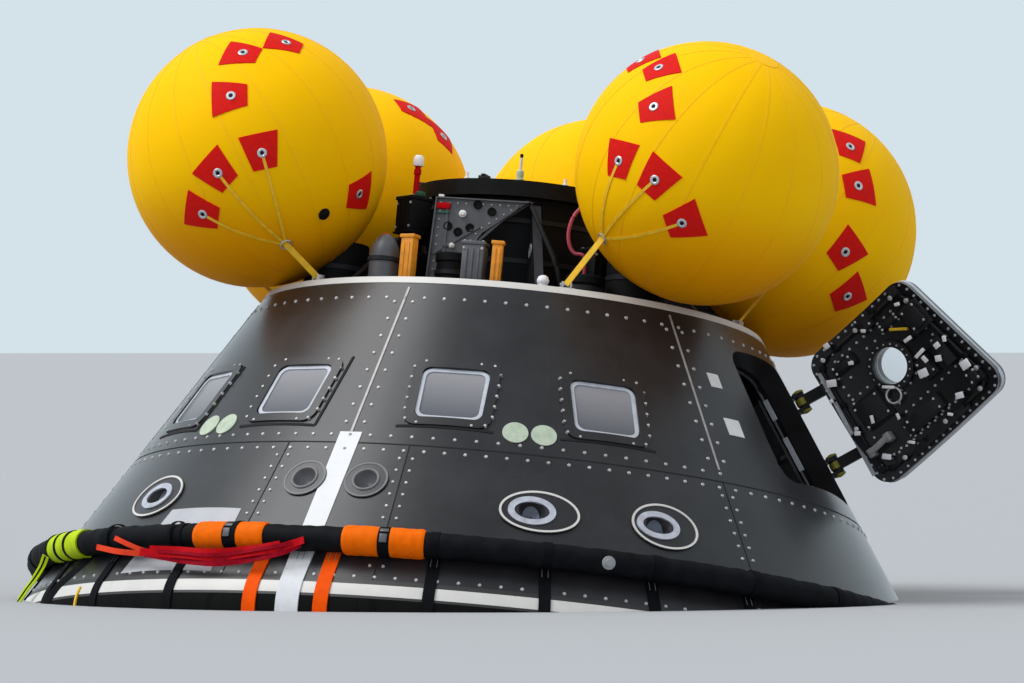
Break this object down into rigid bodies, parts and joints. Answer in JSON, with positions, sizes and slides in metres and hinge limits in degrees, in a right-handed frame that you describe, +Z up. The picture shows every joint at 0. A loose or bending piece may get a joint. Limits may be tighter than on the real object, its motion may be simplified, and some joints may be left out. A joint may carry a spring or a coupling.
{
  "type": "crew space capsule afloat with flotation bags",
  "caption": "Blunt cone crew capsule afloat after landing, with inflated bags round its top, a flotation collar, an open hinged side hatch and a hinged docking hatch.",
  "frame": {"origin": "on the capsule's axis at its waterline, 0.4 m above its widest circle", "axes": "+Z up the capsule's axis to the docking ring; -Y towards the windows; +X towards the side hatch. In the picture the capsule floats tipped back about 10 degrees, so the water lies askew in this frame."},
  "size_m": [5.1746, 5.0287, 4.0278],
  "materials": {
    "hull_tiles": "dark grey tiles under a satin film",
    "light_panel": "pale grey paint",
    "ablator": "dull brown-black ablator",
    "white_paint": "off-white paint",
    "silver_metal": "satin bare metal",
    "dark_metal": "satin black paint",
    "grey_metal": "satin grey paint",
    "window_glass": "coated window glass",
    "yellow_fabric": "coated bag fabric",
    "orange_fabric": "orange webbing",
    "black_fabric": "black coated fabric",
    "cover_film": "pale green film",
    "nozzle_metal": "heat-stained grey metal",
    "seat_fabric": "dark seat cover",
    "lamp_lens": "milky lens",
    "olive_bush": "olive-yellow plated bush"
  },
  "bodies": {
    "capsule": {"heat_shield": "ablator", "separation_pads": "grey_metal", "foot_band": "white_paint", "thruster_ports": "white_paint", "window_frames": "hull_tiles", "window_panes": "window_glass", "thruster_covers": "cover_film", "hatch_coaming": "silver_metal", "hatch_hinge_brackets": "olive_bush", "rim_ring": "white_paint", "bay_deck": "dark_metal", "docking_tunnel": "dark_metal", "docking_ring": "dark_metal", "bay_gussets": "dark_metal", "bay_bracket": "grey_metal", "bay_boxes": "grey_metal", "bay_mortars": "grey_metal", "beacon_lamp": "lamp_lens", "whip_antenna": "white_paint", "bag_canisters": "dark_metal", "collar_tube": "black_fabric", "collar_sleeves": "orange_fabric", "collar_straps": "black_fabric", "cabin_floor": "dark_metal", "crew_seats": "seat_fabric", "display_console": "dark_metal", "lower_panel_front": "hull_tiles", "lower_panel_front_right": "hull_tiles", "lower_panel_hatch_side": "hull_tiles", "lower_panel_rear_right": "hull_tiles", "lower_panel_rear_left": "hull_tiles", "lower_panel_left": "hull_tiles", "lower_panel_front_left": "hull_tiles", "upper_panel_front_left": "hull_tiles", "upper_panel_front_right": "hull_tiles", "upper_panel_hatch_side": "hull_tiles", "upper_panel_rear_right": "hull_tiles", "upper_panel_rear_left": "hull_tiles", "upper_panel_left": "hull_tiles", "bag_right_front": "yellow_fabric", "bag_right_rear": "yellow_fabric", "bag_rear": "yellow_fabric", "bag_left_rear": "yellow_fabric", "bag_left_front": "yellow_fabric"},
    "side_hatch": {"hatch_panel": "dark_metal", "hatch_window_pane": "window_glass", "hatch_window_rim": "silver_metal", "hatch_latch_gear": "silver_metal", "hatch_hinge_arms": "grey_metal"},
    "docking_hatch": {"docking_lid": "dark_metal", "docking_lid_handle": "silver_metal"}
  },
  "joints": [
    {"name": "side_hatch_hinge", "type": "hinge", "parent": "capsule", "child": "side_hatch", "pos_m": [1.60124, 0.59869, 1.01507], "axis": [-0.5033, -0.1882, 0.8434], "range_deg": [-82, 28]},
    {"name": "docking_hatch_hinge", "type": "hinge", "parent": "capsule", "child": "docking_hatch", "pos_m": [0, 0.47512, 2.209], "axis": [-1, 0, 0], "range_deg": [0, 95]}
  ]
}
